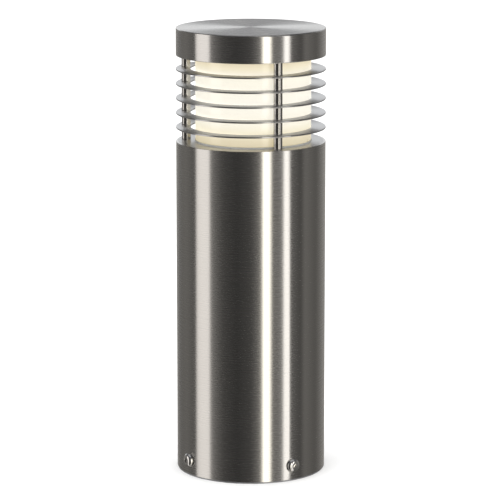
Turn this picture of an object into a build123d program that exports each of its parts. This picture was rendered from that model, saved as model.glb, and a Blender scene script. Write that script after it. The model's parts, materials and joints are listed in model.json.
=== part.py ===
from build123d import *
import os
from math import cos, degrees, pi, radians, sin, sqrt, tan

# Low bollard light for a garden path, in millimetres.  +Z is up, the ground is Z = 0 and
# the origin is on the axis.  Azimuths are measured from the front (-Y) towards +X.
#
# The light comes apart in three: a base that is bolted to the ground and carries the lamp
# holder on a bracket, the lamp, and a housing (tube, louvred head and cap) that drops over
# both and is clamped to the base by four side screws.

# ---------------------------------------------------------------- driving sizes: housing
body_diameter = 100.0
body_height = 224.0        # ground to the top face of the body
tube_wall = 1.5
tube_edge_round = 0.2
top_plate_thickness = 2.0
cap_skirt_height = 18.5
cap_wall = 1.5
cap_top_round = 0.8
cap_rim_round = 0.4

fin_count = 5
fin_thickness = 1.0
fin_gap = 8.75             # clear height between neighbouring fins
fin_edge_round = 0.25

rod_count = 3
rod_azimuth = 24.0         # of the first rod
rod_inset = 6.5            # rod axis to the outside of the body
rod_diameter = 4.0
sleeve_diameter = 6.0
rod_grip = 12.0            # thread held in a cap boss
boss_wall = 1.5            # boss metal around the rod's hole
rod_nut_across_flats = 7.0
rod_nut_height = 3.2
rod_nut_tail = 1.5         # thread showing past the nut
washer_diameter = 8.4
washer_thickness = 0.8

diffuser_wall = 3.0
diffuser_gap = 1.85        # diffuser to the sleeves, if it stood on the axis
glass_lean_gap = 0.25      # diffuser to the fins, on the side (+X) that it is pushed to
diffuser_edge_round = 0.6
gasket_thickness = 1.0
gasket_overhang = 0.3      # gasket wider than the glass, each side
seat_width = 3.0           # top plate showing inside the glass
fin_bore_gap = 0.05        # fin bore to the inside of the sleeves

# ---------------------------------------------------------------- driving sizes: base
base_lip = 1.0             # rim of the base that shows under the tube
base_lip_inset = 0.5
base_floor = 4.0
spigot_wall = 2.5
spigot_height = 17.0
anchor_count = 3
anchor_azimuth = 60.0      # of the first hole
anchor_hole_diameter = 7.0
anchor_inset = 12.8        # hole axis to the inside of the spigot

side_screw_count = 4
side_screw_azimuth = 34.0  # of the first screw
side_screw_height = 10.5
side_screw_diameter = 5.0
side_screw_length = 10.0
side_head_diameter = 9.5
side_head_height = 2.75
side_head_round = 2.45
side_socket = 3.0          # across flats
side_socket_depth = 1.6
clamp_nut_across_flats = 8.0
clamp_nut_height = 4.0

gland_thread_diameter = 16.0
gland_across_flats = 19.0
gland_boss_diameter = 23.0
gland_boss_height = 4.0
gland_flange = 4.0
gland_collar_height = 8.0
gland_collar_wall = 2.0
gland_nut_height = 13.0
gland_nut_lid = 2.5
cable_diameter = 10.0      # bore of the seal
seal_wall = 1.0
seal_height = 10.0

# ---------------------------------------------------------------- driving sizes: bracket
strip_thickness = 1.5
strip_width = 20.0
strip_bend_radius = 3.0    # on the middle of the strip
foot_length = 14.0
foot_clearance = 7.8       # foot to the inside of the spigot
foot_screw_inset = 5.0     # foot screw to the end of the foot
m4 = 4.0
m3 = 3.0
pan_head_ratio = 1.9       # head diameter over thread diameter
pan_head_height_ratio = 0.6
foot_screw_length = 5.0

# ---------------------------------------------------------------- driving sizes: lamp gear
holder_diameter = 39.0
holder_floor = 9.0
holder_pocket_diameter = 22.0
holder_bore_depth = 25.0   # lamp contact to the rim of the holder
holder_rim_round = 1.5
shell_thickness = 0.8
contact_rise = 5.0         # pocket floor to the lamp's centre contact
contact_thickness = 0.5
contact_width = 5.0
contact_reach = 8.0
holder_screw_offset = 7.0
holder_screw_length = 14.0
wire_hole_offset = 5.0
wire_hole_depth = 6.0

lamp_cap_diameter = 26.3
lamp_cap_length = 21.5
lamp_insulator_height = 3.2
lamp_pip_height = 0.8
lamp_pip_diameter = 9.0
lamp_neck_diameter = 29.0
lamp_housing_length = 31.0
lamp_globe_length = 50.0
lamp_globe_wall = 1.2
lamp_light_centre = 81.0   # contact to the middle of the light
lamp_clearance = 2.65      # lamp to the hole it passes through
led_board_thickness = 1.6

# ---------------------------------------------------------------- driving sizes: wiring
block_length = 28.0
block_width = 14.0
block_height = 13.0
wire_room = 10.5           # block to the gland, for the leads to bend up in
block_edge_round = 0.8
pole_pitch = 9.0
pole_count = 3
pole_tube_diameter = 4.8
pole_tube_bore = 3.0
pole_tube_inset = 1.0
pole_height = 5.5
pole_screw_offset = 3.2
wire_diameter = 2.4
wire_tail = 3.0            # wire held inside a terminal
earth_stand_off = 7.5      # earth screw to the bracket leg, along X
earth_screw_y = 21.0       # earth screw to the axis, along Y
lug_diameter = 8.0
lug_thickness = 0.8
lug_barrel_length = 7.0
lug_barrel_diameter = 3.6

# ---------------------------------------------------------------- clearances
slide_fit = 0.2            # tube over the spigot, each side
bore_fit = 0.05            # plain fit of a shank or sleeve in its hole, radius
screw_hole_fit = 0.25      # clearance hole, radius
nut_stand_off = 0.3        # clamp nut to the spigot
lamp_thread_fit = 0.25     # lamp cap in its shell, radius
skin = 0.05                # between faces that only meet

# ---------------------------------------------------------------- worked out from those
body_radius = body_diameter / 2
bore_radius = body_radius - tube_wall
cap_bottom = body_height + (fin_count + 1) * fin_gap + fin_count * fin_thickness
cap_top = cap_bottom + cap_skirt_height
cap_ceiling = cap_top - cap_wall
plate_underside = body_height - top_plate_thickness

rod_circle = body_radius - rod_inset
sleeve_radius = sleeve_diameter / 2
fin_bore_radius = rod_circle - sleeve_radius - fin_bore_gap
diffuser_radius = rod_circle - sleeve_radius - diffuser_gap
diffuser_bore_radius = diffuser_radius - diffuser_wall
glass_offset = diffuser_gap - fin_bore_gap - glass_lean_gap
opening_radius = diffuser_bore_radius - seat_width
rod_hole_radius = rod_diameter / 2 + bore_fit
boss_radius = rod_diameter / 2 + boss_wall

spigot_radius = bore_radius - slide_fit
spigot_inner_radius = spigot_radius - spigot_wall
anchor_circle = spigot_inner_radius - anchor_inset

floor_top = base_floor
boss_top = floor_top + gland_boss_height
window_middle = (body_height + cap_bottom) / 2
lamp_base = window_middle - lamp_light_centre
holder_bottom = lamp_base - contact_rise - holder_floor
holder_top = lamp_base + holder_bore_depth
shell_bore_radius = lamp_cap_diameter / 2 + lamp_thread_fit
globe_radius = opening_radius - lamp_clearance

foot_end = spigot_inner_radius - foot_clearance
leg_offset = foot_end - foot_length
earth_offset = leg_offset - earth_stand_off

block_inner_y = -(gland_across_flats / 2 + wire_room)
block_outer_y = block_inner_y - block_width
block_middle_y = (block_outer_y + block_inner_y) / 2
pole_xs = [(i - (pole_count - 1) / 2) * pole_pitch for i in range(pole_count)]
pole_z = floor_top + pole_height


def radial_plane(azimuth, radius, height):
    """Plane on the axis' side at an azimuth: its Z points outwards and its Y points up."""
    angle = radians(azimuth)
    outwards = (sin(angle), -cos(angle), 0)
    along = (cos(angle), sin(angle), 0)
    origin = (radius * outwards[0], radius * outwards[1], height)
    return Plane(origin=origin, x_dir=along, z_dir=outwards)


def around(count, first_azimuth):
    """Evenly spaced azimuths."""
    return [first_azimuth + i * 360 / count for i in range(count)]


def on_circle(radius, count, first_azimuth):
    """Points in plan at evenly spaced azimuths."""
    angles = [radians(a) for a in around(count, first_azimuth)]
    return [(radius * sin(a), -radius * cos(a)) for a in angles]


def upright(points, height):
    """Level planes at points in plan, all at one height."""
    return [Plane(origin=(x, y, height)) for x, y in points]


rod_points = on_circle(rod_circle, rod_count, rod_azimuth)
screw_azimuths = around(side_screw_count, side_screw_azimuth)


def save(shape, name):
    """Label a finished piece and write it under its node name."""
    shape.label = name
    export_step(shape, f"parts/{name}.step")


def ring(outer, inner, bottom, top, aside=0.0):
    """Plain ring between two heights, its centre moved aside along +X."""
    with BuildPart() as made:
        with BuildSketch(Plane(origin=(aside, 0, bottom))):
            Circle(outer)
            Circle(inner, mode=Mode.SUBTRACT)
        extrude(amount=top - bottom)
    return made.part


def pan_screws(planes, thread, length):
    """Cross-recessed pan screws: each plane is under a head, with Z out of the work."""
    head_radius = thread * pan_head_ratio / 2
    head_height = thread * pan_head_height_ratio
    recess = head_radius * 0.36
    with BuildPart() as made:
        with BuildSketch(*planes):
            Circle(head_radius)
        extrude(amount=head_height)
        with BuildSketch(*planes):
            Circle(thread / 2)
        extrude(amount=-length)
        with BuildSketch(*[p.offset(head_height) for p in planes]):
            Rectangle(head_radius * 1.1, recess)
            Rectangle(recess, head_radius * 1.1)
        extrude(amount=-head_height / 2, mode=Mode.SUBTRACT)
    return made.part


# ================================================================ housing
def make_body_tube():
    """Brushed tube of the body, with a clearance hole for each side screw."""
    hole_planes = [radial_plane(a, bore_radius - tube_wall, side_screw_height) for a in screw_azimuths]
    with BuildPart() as body_tube:
        with BuildSketch(Plane.XY.offset(base_lip)):
            Circle(body_radius)
            Circle(bore_radius, mode=Mode.SUBTRACT)
        extrude(amount=body_height - base_lip)
        rims = body_tube.edges().filter_by(GeomType.CIRCLE).sort_by(Axis.Z)
        outer_top = rims[-2:].sort_by(SortBy.RADIUS)[-1]
        fillet(outer_top, min(tube_edge_round, tube_wall / 2))
        with BuildSketch(*hole_planes):
            Circle(side_screw_diameter / 2 + screw_hole_fit)
        extrude(amount=3 * tube_wall, mode=Mode.SUBTRACT)
    save(body_tube.part, "body_tube")


def make_top_plate():
    """Plate welded into the top of the tube: the glass and the rods stand on it."""
    with BuildPart() as top_plate:
        with BuildSketch(Plane.XY.offset(plate_underside)):
            Circle(bore_radius - skin)
            Circle(opening_radius, mode=Mode.SUBTRACT)
            with Locations(*rod_points):
                Circle(rod_hole_radius, mode=Mode.SUBTRACT)
        extrude(amount=top_plate_thickness)
    save(top_plate.part, "top_plate")


def make_diffuser():
    """Opal glass cylinder with its two flat gaskets, all pushed a little to +X."""
    glass_bottom = body_height + gasket_thickness
    glass_top = cap_ceiling - gasket_thickness
    with BuildPart() as diffuser:
        with BuildSketch(Plane(origin=(glass_offset, 0, glass_bottom))):
            Circle(diffuser_radius)
            Circle(diffuser_bore_radius, mode=Mode.SUBTRACT)
        extrude(amount=glass_top - glass_bottom)
        fillet(diffuser.edges().filter_by(GeomType.CIRCLE), min(diffuser_edge_round, diffuser_wall / 3))
    save(diffuser.part, "diffuser")
    gasket_outer = diffuser_radius + gasket_overhang
    gasket_inner = diffuser_bore_radius - gasket_overhang
    save(ring(gasket_outer, gasket_inner, body_height, glass_bottom, glass_offset), "lower_gasket")
    save(ring(gasket_outer, gasket_inner, glass_top, cap_ceiling, glass_offset), "upper_gasket")


def make_fins_and_sleeves():
    """Stack of ring fins, held apart by sleeves over the tie rods."""
    for tier in range(fin_count + 1):
        sleeve_bottom = body_height + tier * (fin_gap + fin_thickness)
        with BuildPart() as sleeves:
            with BuildSketch(Plane.XY.offset(sleeve_bottom)):
                with Locations(*rod_points):
                    Circle(sleeve_radius)
                    Circle(rod_hole_radius, mode=Mode.SUBTRACT)
            extrude(amount=fin_gap)
        save(sleeves.part, f"spacer_sleeves_{tier + 1}")
        if tier == fin_count:
            break
        with BuildPart() as fin:
            with BuildSketch(Plane.XY.offset(sleeve_bottom + fin_gap)):
                Circle(body_radius)
                Circle(fin_bore_radius, mode=Mode.SUBTRACT)
                with Locations(*rod_points):
                    Circle(rod_hole_radius, mode=Mode.SUBTRACT)
            extrude(amount=fin_thickness)
            outer_rims = fin.edges().filter_by(GeomType.CIRCLE).group_by(SortBy.RADIUS)[-1]
            fillet(outer_rims, min(fin_edge_round, fin_thickness / 3))
        save(fin.part, f"louvre_fin_{tier + 1}")


def make_tie_rods():
    """Studs from the cap bosses down through the top plate, with washers and nuts."""
    washer_bottom = plate_underside - washer_thickness
    nut_bottom = washer_bottom - rod_nut_height
    rod_bottom = nut_bottom - rod_nut_tail
    with BuildPart() as tie_rods:
        with BuildSketch(Plane.XY.offset(rod_bottom)):
            with Locations(*rod_points):
                Circle(rod_diameter / 2)
        extrude(amount=cap_bottom + rod_grip - rod_bottom)
        ends = tie_rods.edges().filter_by(GeomType.CIRCLE)
        chamfer(ends, rod_diameter / 10)
    save(tie_rods.part, "tie_rods")

    with BuildPart() as rod_washers:
        with BuildSketch(Plane.XY.offset(washer_bottom)):
            with Locations(*rod_points):
                Circle(washer_diameter / 2)
                Circle(rod_hole_radius, mode=Mode.SUBTRACT)
        extrude(amount=washer_thickness)
    save(rod_washers.part, "rod_washers")

    with BuildPart() as rod_nuts:
        with BuildSketch(Plane.XY.offset(nut_bottom)):
            with Locations(*rod_points):
                RegularPolygon(rod_nut_across_flats / 2, 6, major_radius=False)
                Circle(rod_hole_radius, mode=Mode.SUBTRACT)
        extrude(amount=rod_nut_height)
    save(rod_nuts.part, "rod_nuts")


def make_cap():
    """Drawn cap, and the three threaded bosses welded under its top."""
    with BuildPart() as cap:
        with BuildSketch(Plane.XY.offset(cap_bottom)):
            Circle(body_radius)
        extrude(amount=cap_skirt_height)
        fillet(cap.faces().sort_by(Axis.Z)[-1].edges(), cap_top_round)
        with BuildSketch(Plane.XY.offset(cap_bottom)):
            Circle(body_radius - cap_wall)
        extrude(amount=cap_skirt_height - cap_wall, mode=Mode.SUBTRACT)
        rim = cap.edges().filter_by(GeomType.CIRCLE).sort_by(Axis.Z)[:2].sort_by(SortBy.RADIUS)[-1]
        fillet(rim, min(cap_rim_round, cap_wall / 3))
    save(cap.part, "cap")

    with BuildPart() as cap_bosses:
        with BuildSketch(Plane.XY.offset(cap_bottom)):
            with Locations(*rod_points):
                Circle(boss_radius)
        extrude(amount=cap_skirt_height - cap_wall)
        with BuildSketch(Plane.XY.offset(cap_bottom)):
            with Locations(*rod_points):
                Circle(rod_hole_radius)
        extrude(amount=rod_grip + 1, mode=Mode.SUBTRACT)
    save(cap_bosses.part, "cap_bosses")


def make_side_screws():
    """Button-head screws through the tube, and the nuts behind the spigot."""
    for number, azimuth in enumerate(screw_azimuths, start=1):
        seat = radial_plane(azimuth, body_radius + skin, side_screw_height)
        with BuildPart() as side_screw:
            with BuildSketch(seat):
                Circle(side_head_diameter / 2)
            extrude(amount=side_head_height)
            crown = side_screw.faces().sort_by(Axis(seat.origin, seat.z_dir))[-1]
            fillet(crown.edges(), min(side_head_round, side_head_height * 0.9))
            with BuildSketch(seat.offset(side_head_height)):
                RegularPolygon(side_socket / 2, 6, major_radius=False)
            extrude(amount=-side_socket_depth, mode=Mode.SUBTRACT)
            with BuildSketch(seat):
                Circle(side_screw_diameter / 2)
            extrude(amount=-side_screw_length)
            tip = side_screw.faces().sort_by(Axis(seat.origin, seat.z_dir))[0]
            chamfer(tip.edges(), side_screw_diameter / 10)
        save(side_screw.part, f"side_screw_{number}")

    nut_corner = clamp_nut_across_flats / 2 / cos(pi / 6)
    nut_face = sqrt(spigot_inner_radius**2 - nut_corner**2) - nut_stand_off
    nut_planes = [radial_plane(a, nut_face, side_screw_height) for a in screw_azimuths]
    with BuildPart() as clamp_nuts:
        with BuildSketch(*nut_planes):
            RegularPolygon(clamp_nut_across_flats / 2, 6, major_radius=False)
            Circle(side_screw_diameter / 2 + bore_fit, mode=Mode.SUBTRACT)
        extrude(amount=-clamp_nut_height)
    save(clamp_nuts.part, "clamp_nuts")


# ================================================================ base
foot_screw_points = [(side * (foot_end - foot_screw_inset), 0) for side in (-1, 1)]
block_screw_points = [(side * pole_pitch / 2, block_middle_y) for side in (-1, 1)]


def make_mounting_base():
    """Cast base: floor, lip under the tube, spigot with open slots and the gland boss."""
    slot_start = spigot_inner_radius - spigot_wall
    slot_planes = [radial_plane(a, slot_start, side_screw_height) for a in screw_azimuths]
    slot_radius = side_screw_diameter / 2 + nut_stand_off
    slot_rise = spigot_height - side_screw_height + 1
    with BuildPart() as mounting_base:
        with BuildSketch():
            Circle(body_radius - base_lip_inset)
        extrude(amount=base_lip - skin)
        with BuildSketch():
            Circle(spigot_radius)
        extrude(amount=base_floor)
        with BuildSketch(Plane.XY.offset(base_floor)):
            Circle(spigot_radius)
            Circle(spigot_inner_radius, mode=Mode.SUBTRACT)
        extrude(amount=spigot_height - base_floor)
        with BuildSketch(Plane.XY.offset(base_floor)):
            Circle(gland_boss_diameter / 2)
        extrude(amount=gland_boss_height)
        with BuildSketch(*slot_planes):
            Circle(slot_radius)
            with Locations((0, slot_rise / 2)):
                Rectangle(2 * slot_radius, slot_rise)
        extrude(amount=3 * spigot_wall, mode=Mode.SUBTRACT)
        with BuildSketch():
            Circle(gland_thread_diameter / 2)
            with Locations(*on_circle(anchor_circle, anchor_count, anchor_azimuth)):
                Circle(anchor_hole_diameter / 2)
        extrude(amount=boss_top, mode=Mode.SUBTRACT)
        with BuildSketch(Plane.XY.offset(base_floor)):
            with Locations(*foot_screw_points, (earth_offset, earth_screw_y)):
                Circle(m4 / 2 + bore_fit)
            with Locations(*block_screw_points):
                Circle(m3 / 2 + bore_fit)
        extrude(amount=-(base_floor - 0.4), mode=Mode.SUBTRACT)
    save(mounting_base.part, "mounting_base")


def make_cable_gland():
    """Screwed gland for the ground cable: body, rubber seal and dome nut."""
    seal_radius = cable_diameter / 2 + seal_wall
    collar_radius = seal_radius + gland_collar_wall
    flange_top = boss_top + gland_flange
    collar_top = flange_top + gland_collar_height
    with BuildPart() as gland_body:
        with BuildSketch(Plane.XY.offset(boss_top)):
            RegularPolygon(gland_across_flats / 2, 6, major_radius=False)
        extrude(amount=gland_flange)
        with BuildSketch(Plane.XY.offset(flange_top)):
            Circle(collar_radius)
        extrude(amount=gland_collar_height)
        with BuildSketch(Plane.XY.offset(boss_top)):
            Circle(gland_thread_diameter / 2 - bore_fit)
        extrude(amount=-(boss_top - base_lip))
        with BuildSketch(Plane.XY.offset(base_lip)):
            Circle(cable_diameter / 2 + seal_wall / 2)
        extrude(amount=collar_top - base_lip, mode=Mode.SUBTRACT)
        with BuildSketch(Plane.XY.offset(flange_top)):
            Circle(seal_radius + bore_fit)
        extrude(amount=gland_collar_height, mode=Mode.SUBTRACT)
    save(gland_body.part, "gland_body")
    save(ring(seal_radius, cable_diameter / 2, flange_top, flange_top + seal_height), "gland_seal")

    nut_bottom = flange_top + 4 * skin
    nut_top = nut_bottom + gland_nut_height
    with BuildPart() as gland_nut:
        with BuildSketch(Plane.XY.offset(nut_bottom)):
            RegularPolygon(gland_across_flats / 2, 6, major_radius=False)
        extrude(amount=gland_nut_height)
        fillet(gland_nut.faces().sort_by(Axis.Z)[-1].edges(), gland_nut_lid / 2)
        with BuildSketch(Plane.XY.offset(nut_bottom)):
            Circle(collar_radius + bore_fit)
        extrude(amount=gland_nut_height - gland_nut_lid, mode=Mode.SUBTRACT)
        with BuildSketch(Plane.XY.offset(nut_top)):
            Circle(cable_diameter / 2 + seal_wall / 2)
        extrude(amount=-gland_nut_lid, mode=Mode.SUBTRACT)
    save(gland_nut.part, "gland_nut")


def make_lamp_bracket():
    """Inverted U of steel strip with outward feet: it carries the lamp holder."""
    low = floor_top + strip_thickness / 2
    high = holder_bottom - strip_thickness / 2
    outline = [(-foot_end, low), (-leg_offset, low), (-leg_offset, high)]
    outline += [(-x, z) for x, z in reversed(outline)]
    with BuildPart() as lamp_bracket:
        with BuildSketch(Plane.XZ):
            with BuildLine():
                FilletPolyline(*outline, radius=strip_bend_radius)
            trace(line_width=strip_thickness)
        extrude(amount=strip_width / 2, both=True)
        with BuildSketch(Plane.XY):
            with Locations(*foot_screw_points):
                Circle(m4 / 2 + screw_hole_fit)
        extrude(amount=high - strip_thickness, mode=Mode.SUBTRACT)
        with BuildSketch(Plane.XY.offset(high - strip_thickness)):
            SlotCenterToCenter(2 * wire_hole_offset, 2 * wire_diameter)
            with Locations((0, holder_screw_offset), (0, -holder_screw_offset)):
                Circle(m3 / 2 + bore_fit)
        extrude(amount=2 * strip_thickness, mode=Mode.SUBTRACT)
    save(lamp_bracket.part, "lamp_bracket")
    seats = upright(foot_screw_points, floor_top + strip_thickness)
    save(pan_screws(seats, m4, foot_screw_length), "bracket_screws")


# ================================================================ lamp holder and lamp
def make_lamp_holder():
    """Porcelain holder with its threaded shell, centre contact and two fixing screws."""
    bore = shell_bore_radius + shell_thickness + skin
    pocket_floor = holder_bottom + holder_floor
    shell_bottom = lamp_base + lamp_pip_height
    screw_points = [(0, holder_screw_offset), (0, -holder_screw_offset)]
    with BuildPart() as holder_body:
        with BuildSketch(Plane.XY.offset(holder_bottom)):
            Circle(holder_diameter / 2)
        extrude(amount=holder_top - holder_bottom)
        fillet(holder_body.faces().sort_by(Axis.Z)[-1].edges(), holder_rim_round)
        with BuildSketch(Plane.XY.offset(shell_bottom)):
            Circle(bore)
        extrude(amount=holder_top - shell_bottom, mode=Mode.SUBTRACT)
        with BuildSketch(Plane.XY.offset(pocket_floor)):
            Circle(holder_pocket_diameter / 2)
        extrude(amount=shell_bottom - pocket_floor, mode=Mode.SUBTRACT)
        with BuildSketch(Plane.XY.offset(holder_bottom)):
            with Locations(*screw_points):
                Circle(m3 / 2 + screw_hole_fit)
        extrude(amount=holder_floor, mode=Mode.SUBTRACT)
        with BuildSketch(Plane.XY.offset(holder_bottom)):
            with Locations((wire_hole_offset, 0), (-wire_hole_offset, 0)):
                Circle(wire_diameter / 2 + screw_hole_fit)
        extrude(amount=wire_hole_depth + 1, mode=Mode.SUBTRACT)
    save(holder_body.part, "holder_body")

    shell_outer = shell_bore_radius + shell_thickness
    save(ring(shell_outer, shell_bore_radius, shell_bottom, holder_top - holder_rim_round), "holder_shell")

    low = pocket_floor + contact_thickness / 2
    crest = lamp_base - contact_thickness / 2 - skin
    spring = [(-contact_reach, low), (-contact_reach / 2, low), (-contact_reach / 5, crest)]
    spring += [(-x, z) for x, z in reversed(spring)]
    with BuildPart() as holder_contact:
        with BuildSketch(Plane.XZ):
            with BuildLine():
                FilletPolyline(*spring, radius=contact_thickness)
            trace(line_width=contact_thickness)
        extrude(amount=contact_width / 2, both=True)
    save(holder_contact.part, "holder_contact")

    save(pan_screws(upright(screw_points, pocket_floor), m3, holder_screw_length), "holder_screws")


def make_lamp():
    """Screw-in LED lamp: contact, insulator, threaded cap, housing, board and globe."""
    insulator_bottom = lamp_base + lamp_pip_height
    cap_start = insulator_bottom + lamp_insulator_height
    neck = cap_start + lamp_cap_length
    shoulder = neck + lamp_housing_length
    crown = shoulder + lamp_globe_length
    cap_radius = lamp_cap_diameter / 2
    shoulder_radius = globe_radius - 2 * lamp_globe_wall

    with BuildPart() as lamp_contact:
        with BuildSketch(Plane.XY.offset(lamp_base)):
            Circle(lamp_pip_diameter / 2)
        extrude(amount=lamp_pip_height)
        fillet(lamp_contact.faces().sort_by(Axis.Z)[0].edges(), lamp_pip_height / 2)
    save(lamp_contact.part, "lamp_contact")

    with BuildPart() as lamp_insulator:
        with BuildSketch(Plane.XY.offset(insulator_bottom)):
            Circle(lamp_pip_diameter / 2 + 1)
        with BuildSketch(Plane.XY.offset(cap_start)):
            Circle(cap_radius - 1)
        loft()
    save(lamp_insulator.part, "lamp_insulator")

    with BuildPart() as lamp_cap:
        with BuildSketch(Plane.XY.offset(cap_start)):
            Circle(cap_radius)
        extrude(amount=lamp_cap_length)
        fillet(lamp_cap.faces().sort_by(Axis.Z)[0].edges(), 1)
    save(lamp_cap.part, "lamp_cap")

    with BuildPart() as lamp_housing:
        with BuildSketch(Plane.XZ):
            with BuildLine():
                Line((0, neck), (lamp_neck_diameter / 2, neck))
                Line((lamp_neck_diameter / 2, neck), (lamp_neck_diameter / 2, neck + 3))
                Spline(
                    (lamp_neck_diameter / 2, neck + 3),
                    (shoulder_radius, shoulder),
                    tangents=((0.4, 1), (0.15, 1)),
                )
                Line((shoulder_radius, shoulder), (0, shoulder))
                Line((0, shoulder), (0, neck))
            make_face()
        revolve(axis=Axis.Z)
    save(lamp_housing.part, "lamp_housing")

    board_radius = shoulder_radius - lamp_globe_wall - 2
    save(ring(board_radius, board_radius / 12, shoulder, shoulder + led_board_thickness), "led_board")

    ball_centre = crown - globe_radius
    with BuildPart() as lamp_globe:
        with BuildSketch(Plane.XZ):
            with BuildLine():
                RadiusArc((0, crown), (globe_radius, ball_centre), globe_radius)
                Spline(
                    (globe_radius, ball_centre),
                    (shoulder_radius, shoulder),
                    tangents=((0, -1), (-0.15, -1)),
                )
                Line((shoulder_radius, shoulder), (shoulder_radius - lamp_globe_wall, shoulder))
                Spline(
                    (shoulder_radius - lamp_globe_wall, shoulder),
                    (globe_radius - lamp_globe_wall, ball_centre),
                    tangents=((0.15, 1), (0, 1)),
                )
                RadiusArc(
                    (globe_radius - lamp_globe_wall, ball_centre),
                    (0, crown - lamp_globe_wall),
                    -(globe_radius - lamp_globe_wall),
                )
                Line((0, crown - lamp_globe_wall), (0, crown))
            make_face()
        revolve(axis=Axis.Z)
    save(lamp_globe.part, "lamp_globe")


# ================================================================ wiring
def make_terminal_block():
    """Three-pole screw terminal beside the gland, held by two small screws."""
    block_top = floor_top + block_height
    screw_ys = [block_middle_y - pole_screw_offset, block_middle_y + pole_screw_offset]
    pole_screw_points = [(x, y) for x in pole_xs for y in screw_ys]
    pole_planes = [Plane(origin=(x, block_middle_y, pole_z), z_dir=(0, 1, 0)) for x in pole_xs]
    with BuildPart() as terminal_block:
        with BuildSketch(Plane.XY.offset(floor_top)):
            with Locations((0, block_middle_y)):
                Rectangle(block_length, block_width)
        extrude(amount=block_height)
        fillet(terminal_block.edges().filter_by(Axis.Z), block_edge_round)
        with BuildSketch(*pole_planes):
            Circle(pole_tube_diameter / 2 + bore_fit)
        extrude(amount=block_width, both=True, mode=Mode.SUBTRACT)
        with BuildSketch(Plane.XY.offset(block_top)):
            with Locations(*pole_screw_points):
                Circle(m3 / 2 + screw_hole_fit)
        extrude(amount=pole_z - block_top, mode=Mode.SUBTRACT)
        with BuildSketch(Plane.XY.offset(block_top)):
            with Locations(*block_screw_points):
                Circle(m3 / 2 + bore_fit)
        extrude(amount=-block_height, mode=Mode.SUBTRACT)
    save(terminal_block.part, "terminal_block")

    with BuildPart() as terminal_tubes:
        with BuildSketch(*pole_planes):
            Circle(pole_tube_diameter / 2)
            Circle(pole_tube_bore / 2, mode=Mode.SUBTRACT)
        extrude(amount=block_width / 2 - pole_tube_inset, both=True)
    save(terminal_tubes.part, "terminal_tubes")

    tube_top = pole_z + pole_tube_diameter / 2 + 2 * bore_fit
    with BuildPart() as terminal_screws:
        with BuildSketch(Plane.XY.offset(tube_top)):
            with Locations(*pole_screw_points):
                Circle(m3 / 2)
        extrude(amount=block_top - tube_top - 1)
        with BuildSketch(Plane.XY.offset(block_top - 1)):
            with Locations(*pole_screw_points):
                Rectangle(m3, m3 / 6)
        extrude(amount=-1, mode=Mode.SUBTRACT)
    save(terminal_screws.part, "terminal_screws")

    block_screw_length = block_height + base_floor / 2
    save(pan_screws(upright(block_screw_points, block_top), m3, block_screw_length), "terminal_block_screws")


def make_earth_point():
    """Earth screw in the base floor, with the crimped ring lug of the earth lead."""
    lug_top = floor_top + lug_thickness
    with BuildPart() as earth_lug:
        with BuildSketch(Plane.XY.offset(floor_top)):
            with Locations((earth_offset, earth_screw_y)):
                Circle(lug_diameter / 2)
            with Locations((earth_offset, earth_screw_y - lug_diameter / 2)):
                Rectangle(lug_barrel_diameter, lug_diameter)
            with Locations((earth_offset, earth_screw_y)):
                Circle(m4 / 2 + bore_fit, mode=Mode.SUBTRACT)
        extrude(amount=lug_thickness)
        with BuildSketch(Plane(origin=lug_barrel_end, x_dir=(1, 0, 0), z_dir=(0, 1, 0))):
            Circle(lug_barrel_diameter / 2)
            Circle(wire_diameter / 2 + bore_fit, mode=Mode.SUBTRACT)
        extrude(amount=lug_barrel_length)
    save(earth_lug.part, "earth_lug")
    seats = upright([(earth_offset, earth_screw_y)], lug_top)
    save(pan_screws(seats, m4, foot_screw_length - 1), "earth_screw")


lug_barrel_end = (
    earth_offset,
    earth_screw_y - lug_diameter / 2 - lug_barrel_length,
    floor_top + lug_barrel_diameter / 2,
)


def corner_radii(points):
    """Largest fair radius at each corner: 0.45 of the shorter run over tan(turn / 2)."""
    radii = []
    for before, here, after in zip(points, points[1:], points[2:]):
        run_in = Vector(*here) - Vector(*before)
        run_out = Vector(*after) - Vector(*here)
        half_turn = radians(run_in.get_angle(run_out)) / 2
        radii.append(0.45 * min(run_in.length, run_out.length) / tan(half_turn))
    return radii


def make_wire(name, points):
    """Insulated lead along straight runs and tangent arcs."""
    radii = corner_radii(points)
    print(name, "arc radii", [round(r, 1) for r in radii])
    with BuildPart() as wire:
        with BuildLine() as route:
            FilletPolyline(*points, radius=radii)
        path = route.wires()[0]
        with BuildSketch(Plane(origin=path @ 0, z_dir=path % 0)):
            Circle(wire_diameter / 2)
        sweep(path=path)
    length = path.length
    share = wire.part.volume / (pi * wire_diameter**2 / 4 * length)
    print(name, "length", round(length, 1), "volume over section times length", round(share, 4))
    save(wire.part, name)


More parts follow.
